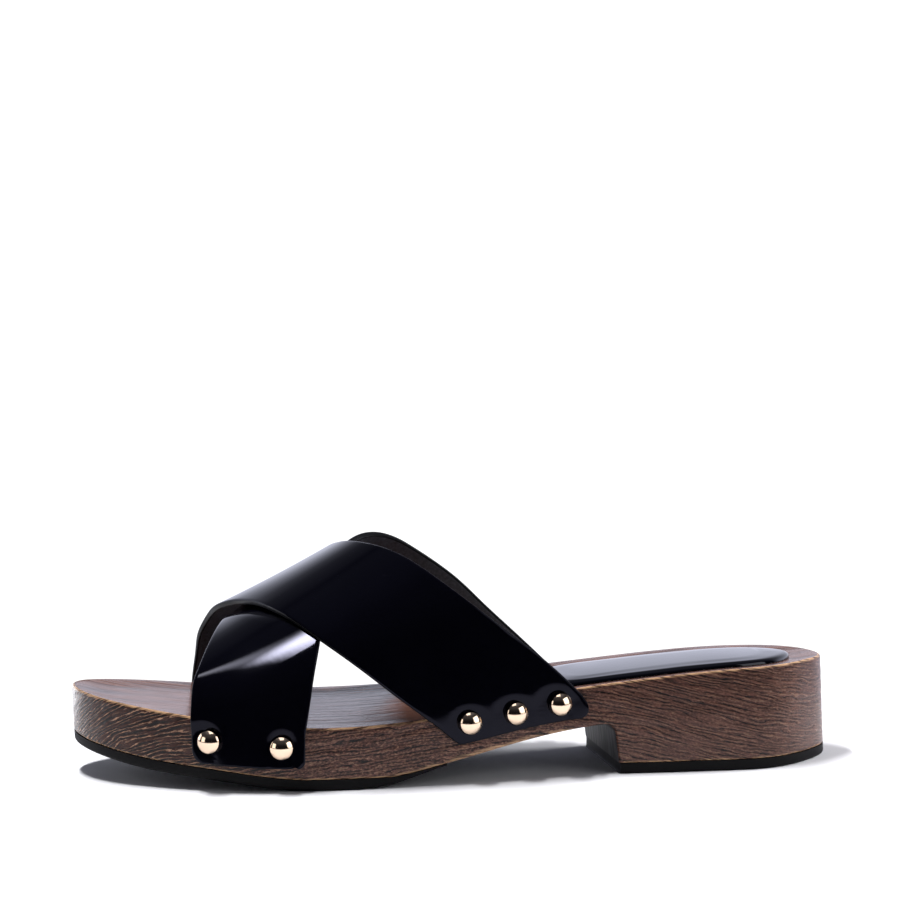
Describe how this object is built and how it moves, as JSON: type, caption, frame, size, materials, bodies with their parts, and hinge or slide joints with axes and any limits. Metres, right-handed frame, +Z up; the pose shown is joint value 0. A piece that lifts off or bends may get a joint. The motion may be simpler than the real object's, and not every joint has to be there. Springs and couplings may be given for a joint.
{
  "type": "slide sandal",
  "caption": "Left slide sandal: wood-look platform sole with a low block heel, crossed patent straps fixed by domed studs, rubber treads and a padded heel pad.",
  "frame": {"origin": "on the floor, under the middle of the shoe's bounding box", "axes": "+X from toe to heel, -Y to the foot's outer side, +Z up"},
  "size_m": [0.251, 0.098, 0.0758],
  "materials": {
    "wood": "brown stain over a raised grain, worn lighter along the rims, satin",
    "rubber": "matte black",
    "patent": "black patent, high gloss",
    "stud": "pale gold, polished"
  },
  "bodies": {
    "root": {"wood_sole": "wood", "forefoot_outsole": "rubber", "heel_top_lift": "rubber", "upper": "patent", "heel_pad": "patent", "stud_outer_1": "stud", "stud_outer_2": "stud", "stud_outer_3": "stud", "stud_outer_4": "stud", "stud_outer_5": "stud", "stud_inner_1": "stud", "stud_inner_2": "stud", "stud_inner_3": "stud", "stud_inner_4": "stud", "stud_inner_5": "stud"}
  },
  "joints": []
}
